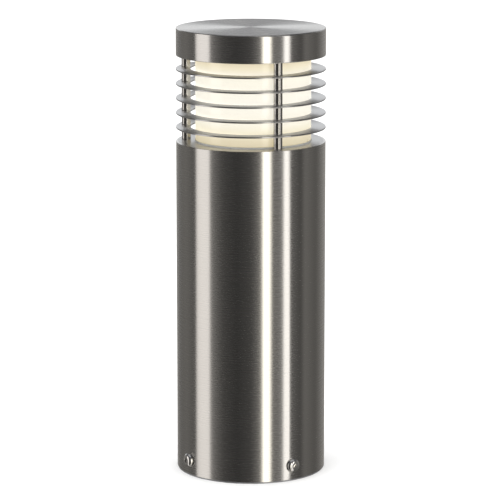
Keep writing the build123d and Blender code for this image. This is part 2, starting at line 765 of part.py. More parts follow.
def make_wires():
    """Live and neutral leads up to the holder, and the earth lead to its lug."""
    start_y = block_inner_y - wire_tail
    top = holder_bottom + wire_hole_depth
    rise = top - pole_z
    left, middle, right = pole_xs
    make_wire("wire_live", [
        (left, start_y, pole_z),
        (left, start_y + 3.7, pole_z),
        (left - 0.1, start_y + 7.6, pole_z + 1.7),
        (left - 0.3, start_y + 10.6, pole_z + 5.5),
        (left - 0.9, start_y + 11.3, pole_z + 12.9),
        (left - 1.5, start_y + 10.1, pole_z + rise * 0.18),
        (left - 1.2, start_y + 6.4, pole_z + rise * 0.37),
        (left + 0.1, start_y + 9.5, pole_z + rise * 0.59),
        (left + 1.9, start_y + 16.8, pole_z + rise * 0.76),
        (-wire_hole_offset - 0.4, -1.7, top - 2 * wire_hole_depth - 8.6),
        (-wire_hole_offset, 0, top - wire_hole_depth - 4.2),
        (-wire_hole_offset, 0, top),
    ])
    make_wire("wire_neutral", [
        (middle, start_y, pole_z),
        (middle, start_y + 3.8, pole_z),
        (middle + 0.2, start_y + 7.8, pole_z + 1.8),
        (middle + 0.6, start_y + 10.5, pole_z + 5.4),
        (middle + 1.3, start_y + 11.2, pole_z + 12.6),
        (middle + 2.6, start_y + 10.4, pole_z + rise * 0.18),
        (middle + 3.3, start_y + 9.6, pole_z + rise * 0.38),
        (middle + 2.5, start_y + 12.4, pole_z + rise * 0.6),
        (middle + 3.1, start_y + 18.0, pole_z + rise * 0.77),
        (wire_hole_offset - 0.4, -1.2, top - 2 * wire_hole_depth - 8.2),
        (wire_hole_offset, 0, top - wire_hole_depth - 4.1),
        (wire_hole_offset, 0, top),
    ])
    lug_x, lug_y, lug_z = lug_barrel_end
    make_wire("wire_earth", [
        (right, start_y, pole_z),
        (right, start_y + 3.4, pole_z),
        (right + 1.1, start_y + 6.7, pole_z + 0.3),
        (right + 4.2, start_y + 10.0, pole_z + 0.8),
        (lug_x - 0.5, start_y + 15.0, pole_z + 0.7),
        (lug_x + 0.4, lug_y - 12.0, lug_z + 3.1),
        (lug_x + 0.1, lug_y - 6.4, lug_z + 1.1),
        (lug_x, lug_y - 1.5, lug_z),
        (lug_x, lug_y + wire_tail, lug_z),
    ])


os.makedirs("parts", exist_ok=True)
make_body_tube()
make_top_plate()
make_diffuser()
make_fins_and_sleeves()
make_tie_rods()
make_cap()
make_side_screws()
make_mounting_base()
make_cable_gland()
make_lamp_bracket()
make_lamp_holder()
make_lamp()
make_terminal_block()
make_earth_point()
make_wires()
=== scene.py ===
import json
import math
import bpy
from mathutils import Matrix, Vector


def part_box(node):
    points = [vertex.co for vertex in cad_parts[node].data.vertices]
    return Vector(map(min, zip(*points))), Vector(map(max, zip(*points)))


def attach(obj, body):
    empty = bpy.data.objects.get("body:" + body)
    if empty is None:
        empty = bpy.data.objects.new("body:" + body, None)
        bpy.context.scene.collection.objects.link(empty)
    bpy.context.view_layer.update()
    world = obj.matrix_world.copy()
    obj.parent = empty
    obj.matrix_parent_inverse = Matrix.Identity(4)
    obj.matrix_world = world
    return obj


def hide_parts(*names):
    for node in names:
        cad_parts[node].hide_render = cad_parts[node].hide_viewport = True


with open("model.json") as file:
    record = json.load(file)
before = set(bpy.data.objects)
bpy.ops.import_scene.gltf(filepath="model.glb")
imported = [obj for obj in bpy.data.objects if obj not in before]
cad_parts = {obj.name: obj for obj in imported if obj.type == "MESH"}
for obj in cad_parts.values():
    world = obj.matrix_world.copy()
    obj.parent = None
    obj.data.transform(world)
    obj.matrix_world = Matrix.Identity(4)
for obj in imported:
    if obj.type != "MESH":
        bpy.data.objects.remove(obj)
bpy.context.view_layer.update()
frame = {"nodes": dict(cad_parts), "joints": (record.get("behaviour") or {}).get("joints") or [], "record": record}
nodes = frame["nodes"]
mm = 0.001
tau = 2 * math.pi


def low(node):
    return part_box(node)[0]


def high(node):
    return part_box(node)[1]


def azimuthOf(axis):
    # degrees from the front, towards +X
    return math.degrees(math.atan2(axis[0], -axis[1]))


# places that several pieces share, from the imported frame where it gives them
bodyRadius = (high("body_tube").x - low("body_tube").x) / 2
bodyTop = high("body_tube").z
capBottom = low("cap").z
screwHeight = (low("side_screw_1").z + high("side_screw_1").z) / 2
screwAzimuths = {joint["child"]: azimuthOf(joint["axis"]) for joint in frame["joints"]
                 if joint["child"].startswith("side_screw_")}
rodAzimuths = [24, 144, 264]
rodCircle = 43.5 * mm
spigotInside = 45.8 * mm
nutStandOff = 0.3 * mm            # clamp nut to the inside of the spigot


def atAzimuth(degrees, radius, height):
    angle = math.radians(degrees)
    return Vector((radius * math.sin(angle), -radius * math.cos(angle), height))


def outwards(degrees, radius, height):
    # matrix whose Z points away from the axis at an azimuth and whose Y points up
    angle = math.radians(degrees)
    out = Vector((math.sin(angle), -math.cos(angle), 0))
    up = Vector((0, 0, 1))
    side = up.cross(out)
    turn = Matrix((side, up, out)).transposed().to_4x4()
    return Matrix.Translation(atAzimuth(degrees, radius, height)) @ turn


# metres, degrees below level, and millimetres for the lens and sensor
view = {"x": -0.00059, "distance": 1.878, "height": 0.518, "tilt": 11.112, "lens": 204.55, "sensor": 36,
        "nearest": 0.05}

cameraData = bpy.data.cameras.new("viewCamera")
cameraData.lens = view["lens"]
cameraData.sensor_width = view["sensor"]
cameraData.clip_start = view["nearest"]
camera = bpy.data.objects.new("viewCamera", cameraData)
camera.location = (view["x"], -view["distance"], view["height"])
camera.rotation_euler = (math.radians(90 - view["tilt"]), 0, 0)
bpy.context.scene.collection.objects.link(camera)
bpy.context.scene.camera = camera
bpy.context.scene.view_settings.view_transform = "Standard"
print("camera placed")


def link(tree, source, target):
    tree.links.new(source, target)


def mathNode(tree, operation, *values):
    node = tree.nodes.new("ShaderNodeMath")
    node.operation = operation
    for socket, value in zip(node.inputs, values):
        if isinstance(value, (int, float)):
            socket.default_value = value
        else:
            link(tree, value, socket)
    return node.outputs[0]


def mixColours(tree, factor, first, second, blend="MIX"):
    node = tree.nodes.new("ShaderNodeMix")
    node.data_type = "RGBA"
    node.blend_type = blend
    for socket, value in ((node.inputs[0], factor), (node.inputs[6], first), (node.inputs[7], second)):
        if isinstance(value, (int, float)):
            socket.default_value = value
        elif isinstance(value, tuple):
            socket.default_value = (*value[:3], 1)
        else:
            link(tree, value, socket)
    return node.outputs[2]


def spread(tree, value, fromLow, fromHigh, toLow, toHigh, smooth=False):
    node = tree.nodes.new("ShaderNodeMapRange")
    node.interpolation_type = "SMOOTHSTEP" if smooth else "LINEAR"
    link(tree, value, node.inputs["Value"])
    limits = {"From Min": fromLow, "From Max": fromHigh, "To Min": toLow, "To Max": toHigh}
    for name, number in limits.items():
        node.inputs[name].default_value = number
    return node.outputs["Result"]


def ramp(tree, value, stops):
    node = tree.nodes.new("ShaderNodeValToRGB")
    elements = node.color_ramp.elements
    while len(elements) < len(stops):
        elements.new(0.5)
    for element, (position, colour) in zip(elements, stops):
        element.position = position
        element.color = (*colour, 1)
    link(tree, value, node.inputs["Fac"])
    return node.outputs["Color"]


# a pale floor, an even white room, and one soft lamp
studio = {
    "floorSize": 60.0,
    "floorSteps": 24,
    "floorColour": (0.97, 0.97, 0.967),
    "floorShade": 0.99,             # of that colour in the floor's darkest patches
    "floorPatches": 40,
    "floorRoughness": 0.9,
    "fill": 1.45,
    "keyPower": 9.0,
    "keySize": 1.2,
    "keyPlace": (-1.3, -1.4, 1.8),
    "keyAim": (0, 0, 0.15),
}

# what only reflections see instead of the white room; a fade is where a change starts and ends,
# as a part of the direction that is looked in
mirrored = {
    "wallTint": (1.0, 0.96, 0.90),
    "lowShare": 0.55,               # of the walls' brightness that is left towards the floor
    "lowFade": (-0.62, -0.05),
    "rearGlow": (1.02, 1.04, 1.06),
    "rearRight": 0.74,              # of the rear glow that is left on the +X side
    "rearDepth": (0.62, 0.9),
    "rearHeight": (0.02, 0.16),
    "rearAcross": (-0.15, 0.35),
    "zenith": (0.10, 0.10, 0.105),
    "zenithFade": (0.22, 0.62),
    "overhead": (0.42, 0.42, 0.43),
    "overheadFade": (0.78, 0.93),
}

# walls of that room: degrees from the front towards +X, and brightness
walls = [
    (-180, 0.45), (-145, 0.16), (-120, 0.22), (-98, 0.15), (-60, 0.19), (-44, 0.08), (-22, 0.05), (0, 0.09),
    (12, 0.22), (42, 0.25), (72, 0.17), (84, 0.09), (92, 0.24), (120, 0.14), (180, 0.45),
]
softboxes = [
    {"middle": -80, "halfWidth": 13.5, "edge": 1.5, "glow": (1.55, 1.48, 1.41)},
    {"middle": 24.5, "halfWidth": 6.5, "edge": 2.5, "glow": (3.2, 3.05, 2.7)},
    {"middle": 57, "halfWidth": 5, "edge": 2, "glow": (2.5, 2.42, 2.3)},
]


def makeFloor():
    size, steps = studio["floorSize"], studio["floorSteps"]
    spots, faces = [], []
    for row in range(steps + 1):
        for column in range(steps + 1):
            spots.append(((column / steps - 0.5) * size, (row / steps - 0.5) * size, 0))
    for row in range(steps):
        for column in range(steps):
            corner = row * (steps + 1) + column
            faces.append((corner, corner + 1, corner + steps + 2, corner + steps + 1))
    mesh = bpy.data.meshes.new("floor")
    mesh.from_pydata(spots, [], faces)
    floor = bpy.data.objects.new("floor", mesh)
    bpy.context.scene.collection.objects.link(floor)
    material = bpy.data.materials.new("paleFloor")
    material.use_nodes = True
    tree = material.node_tree
    shader = tree.nodes["Principled BSDF"]
    noise = tree.nodes.new("ShaderNodeTexNoise")
    noise.inputs["Scale"].default_value = studio["floorPatches"]
    pale = studio["floorColour"]
    darker = tuple(channel * studio["floorShade"] for channel in pale)
    link(tree, mixColours(tree, noise.outputs["Fac"], pale, darker), shader.inputs["Base Color"])
    shader.inputs["Roughness"].default_value = studio["floorRoughness"]
    mesh.materials.append(material)
    floor.visible_glossy = False      # steel mirrors the softboxes, not the floor


def paintWalls(tree, azimuth):
    # the walls all round, with the softboxes standing in front of them
    turn = spread(tree, azimuth, -math.pi, math.pi, 0, 1)
    stops = [((angle + 180) / 360, tuple(shade * tint for tint in mirrored["wallTint"]))
             for angle, shade in walls]
    seen = ramp(tree, turn, stops)
    for box in softboxes:
        away = mathNode(tree, "ABSOLUTE", mathNode(tree, "SUBTRACT", azimuth, math.radians(box["middle"])))
        inner, outer = (math.radians(box["halfWidth"] + side * box["edge"]) for side in (-1, 1))
        seen = mixColours(tree, spread(tree, away, inner, outer, 1, 0, smooth=True), seen, box["glow"])
    return seen


def makeRoom():
    world = bpy.data.worlds.new("studioRoom")
    bpy.context.scene.world = world
    world.use_nodes = True
    world.cycles.sampling_method = "NONE"
    tree = world.node_tree
    tree.nodes.clear()
    direction = tree.nodes.new("ShaderNodeTexCoord")
    parts = tree.nodes.new("ShaderNodeSeparateXYZ")
    link(tree, direction.outputs["Generated"], parts.inputs[0])
    across, depth, height = parts.outputs
    seen = paintWalls(tree, mathNode(tree, "ARCTAN2", across, mathNode(tree, "MULTIPLY", depth, -1.0)))

    dimming = spread(tree, height, *mirrored["lowFade"], mirrored["lowShare"], 1.0, smooth=True)
    seen = mixColours(tree, 1.0, seen, dimming, "MULTIPLY")
    rear = spread(tree, depth, *mirrored["rearDepth"], 0, 1, smooth=True)
    raised = spread(tree, height, *mirrored["rearHeight"], 0, 1, smooth=True)
    fade = spread(tree, across, *mirrored["rearAcross"], 1.0, mirrored["rearRight"], smooth=True)
    glow = mixColours(tree, 1.0, mirrored["rearGlow"], fade, "MULTIPLY")
    seen = mixColours(tree, mathNode(tree, "MULTIPLY", rear, raised), seen, glow)
    for part in ("zenith", "overhead"):
        share = spread(tree, height, *mirrored[part + "Fade"], 0, 1, smooth=True)
        seen = mixColours(tree, share, seen, mirrored[part])

    ray = tree.nodes.new("ShaderNodeLightPath")
    radiance = mixColours(tree, ray.outputs["Is Glossy Ray"], (studio["fill"],) * 3, seen)
    background = tree.nodes.new("ShaderNodeBackground")
    link(tree, radiance, background.inputs["Color"])
    output = tree.nodes.new("ShaderNodeOutputWorld")
    link(tree, background.outputs[0], output.inputs["Surface"])


def makeKeyLamp():
    key = bpy.data.lights.new("softKey", "AREA")
    key.energy = studio["keyPower"]
    key.size = studio["keySize"]
    lamp = bpy.data.objects.new("softKey", key)
    lamp.location = studio["keyPlace"]
    lamp.rotation_euler = (Vector(studio["keyAim"]) - lamp.location).to_track_quat("-Z", "Y").to_euler()
    lamp.visible_glossy = False
    lamp.visible_camera = False
    bpy.context.scene.collection.objects.link(lamp)


makeFloor()
makeRoom()
makeKeyLamp()
print("studio lit")


def newGroup(name, inputs, outputs):
    group = bpy.data.node_groups.new(name, "ShaderNodeTree")
    for label, kind, value in inputs:
        socket = group.interface.new_socket(label, in_out="INPUT", socket_type=kind)
        socket.default_value = value
    for label, kind in outputs:
        group.interface.new_socket(label, in_out="OUTPUT", socket_type=kind)
    return group, group.nodes.new("NodeGroupInput"), group.nodes.new("NodeGroupOutput")


grain = {"along": 18.0, "across": 3200.0, "detail": 4.0, "lineRoughness": 0.7, "driftScale": 26,
         "driftDetail": 3}


def makeTurnedGrain():
    # fine lines that run round the axis, on walls and on flat tops alike
    group, given, result = newGroup(
        "turnedGrain",
        [("Along", "NodeSocketFloat", grain["along"]), ("Across", "NodeSocketFloat", grain["across"]),
         ("Detail", "NodeSocketFloat", grain["detail"])],
        [("Lines", "NodeSocketFloat"), ("Drift", "NodeSocketFloat")])
    place = group.nodes.new("ShaderNodeTexCoord")
    parts = group.nodes.new("ShaderNodeSeparateXYZ")
    link(group, place.outputs["Object"], parts.inputs[0])
    x, y, z = parts.outputs
    squares = mathNode(group, "ADD", mathNode(group, "MULTIPLY", x, x), mathNode(group, "MULTIPLY", y, y))
    reach = mathNode(group, "ADD", mathNode(group, "SQRT", squares), z)
    along, across, detail = given.outputs[:3]
    stretched = group.nodes.new("ShaderNodeCombineXYZ")
    for socket, (value, scale) in zip(stretched.inputs, ((x, along), (y, along), (reach, across))):
        link(group, mathNode(group, "MULTIPLY", value, scale), socket)
    lines = group.nodes.new("ShaderNodeTexNoise")
    link(group, stretched.outputs[0], lines.inputs["Vector"])
    link(group, detail, lines.inputs["Detail"])
    lines.inputs["Scale"].default_value = 1.0
    lines.inputs["Roughness"].default_value = grain["lineRoughness"]
    drift = group.nodes.new("ShaderNodeTexNoise")
    link(group, place.outputs["Object"], drift.inputs["Vector"])
    drift.inputs["Scale"].default_value = grain["driftScale"]
    drift.inputs["Detail"].default_value = grain["driftDetail"]
    link(group, lines.outputs["Fac"], result.inputs["Lines"])
    link(group, drift.outputs["Fac"], result.inputs["Drift"])
    return group


mottling = {"patch": 60.0, "tooth": 900.0, "patchDetail": 4, "toothDetail": 2}


def makeMottle():
    # cast, moulded and glazed skins: soft patches and a fine tooth
    group, given, result = newGroup(
        "mottle",
        [("Patch Scale", "NodeSocketFloat", mottling["patch"]),
         ("Tooth Scale", "NodeSocketFloat", mottling["tooth"])],
        [("Patches", "NodeSocketFloat"), ("Tooth", "NodeSocketFloat")])
    place = group.nodes.new("ShaderNodeTexCoord")
    details = (("Patches", mottling["patchDetail"]), ("Tooth", mottling["toothDetail"]))
    for scale, (label, detail) in zip(given.outputs, details):
        noise = group.nodes.new("ShaderNodeTexNoise")
        link(group, place.outputs["Object"], noise.inputs["Vector"])
        link(group, scale, noise.inputs["Scale"])
        noise.inputs["Detail"].default_value = detail
        link(group, noise.outputs["Fac"], result.inputs[label])
    return group


turnedGrain = makeTurnedGrain()
mottle = makeMottle()
lineRange = (0.25, 0.75)          # most values of the fine lines lie between these
noiseRange = (0.3, 0.7)           # and most values of soft patches between these


def useGroup(tree, group, **values):
    node = tree.nodes.new("ShaderNodeGroup")
    node.node_tree = group
    for name, value in values.items():
        node.inputs[name.replace("_", " ")].default_value = value
    return node


def bump(tree, shader, height, look):
    node = tree.nodes.new("ShaderNodeBump")
    node.inputs["Strength"].default_value = look["bump"]
    node.inputs["Distance"].default_value = look["depth"]
    link(tree, height, node.inputs["Height"])
    link(tree, node.outputs["Normal"], shader.inputs["Normal"])


def varyRoughness(tree, shader, mask, smoothest, roughest):
    link(tree, spread(tree, mask, *noiseRange, smoothest, roughest), shader.inputs["Roughness"])


def startMaterial(name):
    material = bpy.data.materials.new(name)
    material.use_nodes = True
    return material, material.node_tree, material.node_tree.nodes["Principled BSDF"]


def brushedSteel(name, look):
    material, tree, shader = startMaterial(name)
    brushed = useGroup(tree, turnedGrain, Along=look["along"], Across=look["across"])
    lines = brushed.outputs["Lines"]
    colour = mixColours(tree, brushed.outputs["Drift"], look["colour"], look["drift"])
    tone = spread(tree, lines, *lineRange, 1 - look["contrast"], 1 + look["contrast"])
    link(tree, mixColours(tree, 1.0, colour, tone, "MULTIPLY"), shader.inputs["Base Color"])
    varyRoughness(tree, shader, lines, look["roughness"] - look["spread"], look["roughness"] + look["spread"])
    shader.inputs["Metallic"].default_value = 1.0
    shader.inputs["Anisotropic"].default_value = look["anisotropy"]
    shader.inputs["Anisotropic Rotation"].default_value = 0.25     # a quarter turn from the tangent
    tangent = tree.nodes.new("ShaderNodeTangent")
    tangent.direction_type = "RADIAL"
    tangent.axis = "Z"
    link(tree, tangent.outputs[0], shader.inputs["Tangent"])
    bump(tree, shader, lines, look)
    return material


def mottledMaterial(name, look):
    # plain metals, plastics, rubber and porcelain
    material, tree, shader = startMaterial(name)
    skin = useGroup(tree, mottle, Patch_Scale=look["patch"], Tooth_Scale=look["tooth"])
    patches = skin.outputs["Patches"]
    link(tree, mixColours(tree, patches, look["colour"], look["drift"]), shader.inputs["Base Color"])
    smoothest, roughest = (look["roughness"] * share for share in look["variation"])
    varyRoughness(tree, shader, patches, smoothest, roughest)
    shader.inputs["Metallic"].default_value = look["metallic"]
    shader.inputs["Coat Weight"].default_value = look["coat"]
    shader.inputs["Coat Roughness"].default_value = look["coatRoughness"]
    bump(tree, shader, skin.outputs["Tooth"], look)
    return material


# looks are named by the record's material slots
satinTurned = {"along": 14.0, "across": 2600.0, "contrast": 0.018, "roughness": 0.27, "spread": 0.008,
               "anisotropy": 1.0, "depth": 0.01 * mm, "bump": 0.025}
steelLooks = {
    "body_steel": satinTurned | {"colour": (0.63, 0.62, 0.605), "drift": (0.60, 0.59, 0.575)},
    "cap_steel": satinTurned | {"colour": (0.63, 0.62, 0.61), "drift": (0.60, 0.59, 0.58)},
    "fin_steel": {"colour": (0.62, 0.62, 0.62), "drift": (0.60, 0.60, 0.61), "along": 20.0,
                  "across": 2400.0, "contrast": 0.04, "roughness": 0.36, "spread": 0.02, "anisotropy": 0.95,
                  "depth": 0.02 * mm, "bump": 0.08},
    "plate_steel": {"colour": (0.62, 0.62, 0.62), "drift": (0.60, 0.60, 0.60), "along": 20.0,
                    "across": 2000.0, "contrast": 0.05, "roughness": 0.32, "spread": 0.03, "anisotropy": 0.6,
                    "depth": 0.02 * mm, "bump": 0.10},
}

plainMetal = {"patch": 120.0, "tooth": 2500.0, "variation": (0.7, 1.4), "metallic": 1.0, "coat": 0.0,
              "coatRoughness": 0.08, "depth": 0.01 * mm, "bump": 0.3}
metalLooks = {
    "sleeve_steel": {"colour": (0.50, 0.49, 0.475), "drift": (0.46, 0.45, 0.44), "roughness": 0.13,
                     "bump": 0.05},
    "rod_steel": {"colour": (0.66, 0.65, 0.64), "drift": (0.60, 0.59, 0.58), "roughness": 0.24},
    "plated_steel": {"colour": (0.70, 0.71, 0.73), "drift": (0.62, 0.62, 0.60), "roughness": 0.26},
    "screw_steel": {"colour": (0.88, 0.87, 0.86), "drift": (0.80, 0.79, 0.78), "roughness": 0.04,
                    "bump": 0.1},
    # a dark grey casting; the darkness is partly painted shade, so that the base's lip just below the tube shows
    # as a dark line along the tube's foot
    "cast_aluminium": {"colour": (0.30, 0.30, 0.31), "drift": (0.24, 0.24, 0.25), "roughness": 0.5,
                       "metallic": 0.5, "tooth": 1400.0, "depth": 0.12 * mm, "bump": 0.5},
    "galvanised_steel": {"colour": (0.62, 0.64, 0.66), "drift": (0.50, 0.52, 0.55), "roughness": 0.36,
                         "metallic": 0.6, "patch": 260.0, "depth": 0.03 * mm},
    "brass": {"colour": (0.80, 0.62, 0.30), "drift": (0.70, 0.52, 0.24), "roughness": 0.2},
    "lamp_cap_metal": {"colour": (0.74, 0.71, 0.66), "drift": (0.66, 0.63, 0.58), "roughness": 0.2},
    "tinned_copper": {"colour": (0.76, 0.74, 0.71), "drift": (0.66, 0.62, 0.57), "roughness": 0.3},
}

plainSkin = {"patch": 80.0, "tooth": 1500.0, "variation": (0.85, 1.15), "metallic": 0.0, "coat": 0.0,
             "coatRoughness": 0.08, "depth": 0.03 * mm, "bump": 0.3}
skinLooks = {
    "silicone": {"colour": (0.66, 0.66, 0.63), "drift": (0.58, 0.58, 0.56), "roughness": 0.6},
    "gland_plastic": {"colour": (0.20, 0.205, 0.21), "drift": (0.17, 0.175, 0.18), "roughness": 0.45},
    "seal_rubber": {"colour": (0.02, 0.02, 0.02), "drift": (0.035, 0.034, 0.033), "roughness": 0.65},
    "porcelain": {"colour": (0.50, 0.485, 0.45), "drift": (0.46, 0.445, 0.41), "roughness": 0.28,
                  "coat": 0.6},
    "lamp_insulator_glass": {"colour": (0.02, 0.018, 0.024), "drift": (0.04, 0.035, 0.045), "roughness": 0.12,
                             "coat": 0.5},
    "lamp_plastic": {"colour": (0.44, 0.44, 0.435), "drift": (0.41, 0.41, 0.405), "roughness": 0.32},
    "board_white": {"colour": (0.86, 0.86, 0.83), "drift": (0.80, 0.80, 0.77), "roughness": 0.4},
    "terminal_plastic": {"colour": (0.46, 0.445, 0.40), "drift": (0.42, 0.405, 0.36), "roughness": 0.42},
    "wire_brown": {"colour": (0.12, 0.045, 0.018), "drift": (0.09, 0.033, 0.013), "roughness": 0.4},
    "wire_blue": {"colour": (0.02, 0.09, 0.38), "drift": (0.017, 0.07, 0.30), "roughness": 0.4},
}

finishes = {}
for slot, look in steelLooks.items():
    finishes[slot] = brushedSteel(slot, look)
for slot, look in metalLooks.items():
    finishes[slot] = mottledMaterial(slot, plainMetal | look)
for slot, look in skinLooks.items():
    finishes[slot] = mottledMaterial(slot, plainSkin | look)


def glowingGlass(tree, shader, cloud, glow, look):
    link(tree, glow, shader.inputs["Emission Color"])
    shader.inputs["Emission Strength"].default_value = look["strength"]
    base = mixColours(tree, cloud.outputs["Patches"], look["colour"], look["drift"])
    link(tree, base, shader.inputs["Base Color"])
    shader.inputs["Metallic"].default_value = 0.0
    shader.inputs["Roughness"].default_value = look["roughness"]


# glow from the body's top to the cap: warmer and dimmer next to both
opal = {
    "stops": [(0.0, (0.56, 0.46, 0.25)), (0.08, (0.68, 0.57, 0.34)), (0.17, (0.90, 0.82, 0.60)),
              (0.28, (1.0, 0.95, 0.81)), (0.5, (1.0, 0.965, 0.87)), (0.82, (1.0, 0.95, 0.81)),
              (0.92, (0.84, 0.73, 0.50)), (1.0, (0.62, 0.52, 0.30))],
    "strength": 0.66,
    "clouded": 0.97,                # of the glow that is left in the cloudiest patches
    "colour": (0.56, 0.54, 0.47),
    "drift": (0.52, 0.50, 0.43),
    "patch": 22.0,
    "tooth": 700.0,
    "roughness": 0.16,
    "depth": 0.2 * mm,
    "bump": 0.06,
}


def makeOpal():
    material, tree, shader = startMaterial("opal_glass")
    place = tree.nodes.new("ShaderNodeTexCoord")
    parts = tree.nodes.new("ShaderNodeSeparateXYZ")
    link(tree, place.outputs["Object"], parts.inputs[0])
    height = spread(tree, parts.outputs[2], bodyTop, capBottom, 0, 1)
    cloud = useGroup(tree, mottle, Patch_Scale=opal["patch"], Tooth_Scale=opal["tooth"])
    patches = cloud.outputs["Patches"]
    glow = ramp(tree, height, opal["stops"])
    glow = mixColours(tree, 1.0, glow, spread(tree, patches, *noiseRange, opal["clouded"], 1.0), "MULTIPLY")
    glowingGlass(tree, shader, cloud, glow, opal)
    bump(tree, shader, patches, opal)
    return material


lampOpal = {
    "glow": (1.0, 0.90, 0.70),
    "glowDrift": (1.0, 0.93, 0.76),
    "strength": 0.62,
    "colour": (0.34, 0.33, 0.30),
    "drift": (0.31, 0.30, 0.27),
    "patch": 40.0,
    "tooth": 1600.0,
    "roughness": 0.38,
    "depth": 0.03 * mm,
    "bump": 0.3,
}


def makeLampOpal():
    material, tree, shader = startMaterial("lamp_opal")
    cloud = useGroup(tree, mottle, Patch_Scale=lampOpal["patch"], Tooth_Scale=lampOpal["tooth"])
    glow = mixColours(tree, cloud.outputs["Patches"], lampOpal["glow"], lampOpal["glowDrift"])
    glowingGlass(tree, shader, cloud, glow, lampOpal)
    bump(tree, shader, cloud.outputs["Tooth"], lampOpal)
    return material


earthInsulation = {
    "green": (0.03, 0.22, 0.035),
    "greenDrift": (0.025, 0.18, 0.03),
    "yellow": (0.72, 0.60, 0.03),
    "bandScale": 110,
    "bandEdge": (0.48, 0.56),
    "patch": 80.0,
    "tooth": 1500.0,
    "roughness": 0.4,
    "depth": 0.03 * mm,
    "bump": 0.3,
}


def makeEarthInsulation():
    # green insulation with slanting yellow bands
    look = earthInsulation
    material, tree, shader = startMaterial("wire_green")
    place = tree.nodes.new("ShaderNodeTexCoord")
    wave = tree.nodes.new("ShaderNodeTexWave")
    link(tree, place.outputs["Object"], wave.inputs["Vector"])
    wave.bands_direction = "DIAGONAL"
    wave.inputs["Scale"].default_value = look["bandScale"]
    band = spread(tree, wave.outputs["Fac"], *look["bandEdge"], 0, 1)
    skin = useGroup(tree, mottle, Patch_Scale=look["patch"], Tooth_Scale=look["tooth"])
    green = mixColours(tree, skin.outputs["Patches"], look["green"], look["greenDrift"])
    link(tree, mixColours(tree, band, green, look["yellow"]), shader.inputs["Base Color"])
    shader.inputs["Roughness"].default_value = look["roughness"]
    bump(tree, shader, skin.outputs["Tooth"], look)
    return material


finishes["opal_glass"] = makeOpal()
finishes["lamp_opal"] = makeLampOpal()
finishes["wire_green"] = makeEarthInsulation()
print("materials made", len(finishes))

slotOf = {part["node"]: part["material_slot"] for part in frame["record"]["subparts"]}
bodies = frame["record"]["behaviour"]["bodies"]
bodyOf = {node: body for body, members in bodies.items() for node in members}

for node, slot in slotOf.items():
    shape = nodes[node]
    shape.data.materials.clear()
    shape.data.materials.append(finishes[slot])
print("frame finished", len(nodes), "nodes")


# from here on: turned and threaded pieces, in place of the plain CAD solids
def even(radius):
    return lambda angle: radius


def cornerRadius(flats):
    return flats / 2 / math.cos(tau / 12)


def hexagon(flats, limit=None):
    # distance to a hexagon's side, held inside a chamfer cone of radius limit
    def reach(angle):
        side = (angle % (tau / 6)) - tau / 12
        distance = flats / 2 / math.cos(side)
        return distance if limit is None else min(distance, limit)
    return reach


def ribbed(radius, depth, ribs):
    return lambda angle: radius - depth * (0.5 - 0.5 * math.cos(ribs * angle))


def threadRings(crest, root, pitch, bottom, top, fade, steps=8):
    # rings of a right-handed thread that runs out towards both ends, with some steps to each turn
    count = max(2, round((top - bottom) / pitch * steps))
    rings = []
    for index in range(count + 1):
        height = bottom + (top - bottom) * index / count
        strength = max(0.0, min(1.0, (height - bottom) / fade, (top - height) / fade))
        depth = (crest - root) * strength

        def reach(angle, height=height, depth=depth):
            wave = abs(2 * ((height / pitch - angle / tau) % 1.0) - 1)
            return crest - depth * wave
        rings.append((height, reach))
    return rings


def lathe(rings, count, looped=False):
    # closed skin through rings of (height, radius by angle); looped for a piece with a bore
    spots = []
    for height, reach in rings:
        for step in range(count):
            angle = tau * step / count
            spots.append(Vector((reach(angle) * math.cos(angle), reach(angle) * math.sin(angle), height)))
    faces = []
    total = len(rings)
    for row in range(total if looped else total - 1):
        lower, upper = row * count, ((row + 1) % total) * count
        for step in range(count):
            following = (step + 1) % count
            faces.append((lower + step, lower + following, upper + following, upper + step))
    if not looped:
        for row, backwards in ((0, True), (total - 1, False)):
            centre = len(spots)
            spots.append(Vector((0, 0, rings[row][0])))
            for step in range(count):
                pair = (row * count + step, row * count + (step + 1) % count)
                faces.append((centre, *(reversed(pair) if backwards else pair)))
    return spots, faces


def makePiece(name, node, skins, sharp=32):
    # one mesh from skins of (spots, faces, place), standing in for a CAD node;
    # edges that turn by more than sharp degrees stay crisp
    spots, faces = [], []
    for skinSpots, skinFaces, place in skins:
        start = len(spots)
        spots.extend(place @ spot for spot in skinSpots)
        faces.extend(tuple(start + corner for corner in face) for face in skinFaces)
    mesh = bpy.data.meshes.new(name)
    mesh.from_pydata(spots, [], faces)
    mesh.update()
    mesh.shade_smooth()
    mesh.set_sharp_from_angle(angle=math.radians(sharp))
    mesh.materials.append(finishes[slotOf[node]])
    piece = bpy.data.objects.new(name, mesh)
    bpy.context.scene.collection.objects.link(piece)
    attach(piece, bodyOf[node])
    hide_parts(node)


def onEachRod(skin, height):
    return [(*skin, Matrix.Translation(atAzimuth(azimuth, rodCircle, height))) for azimuth in rodAzimuths]


sideScrew = {"seat": 0.05 * mm, "head": 4.75 * mm, "rise": 2.75 * mm, "rim": 0.3 * mm, "crown": 2.3 * mm,
             "socket": 3.0 * mm, "socketDepth": 1.6 * mm, "lead": 0.12 * mm, "crest": 2.5 * mm,
             "root": 2.03 * mm, "pitch": 0.8 * mm, "length": 10.0 * mm, "point": 0.5 * mm, "domeSteps": 8,
             "count": 48}


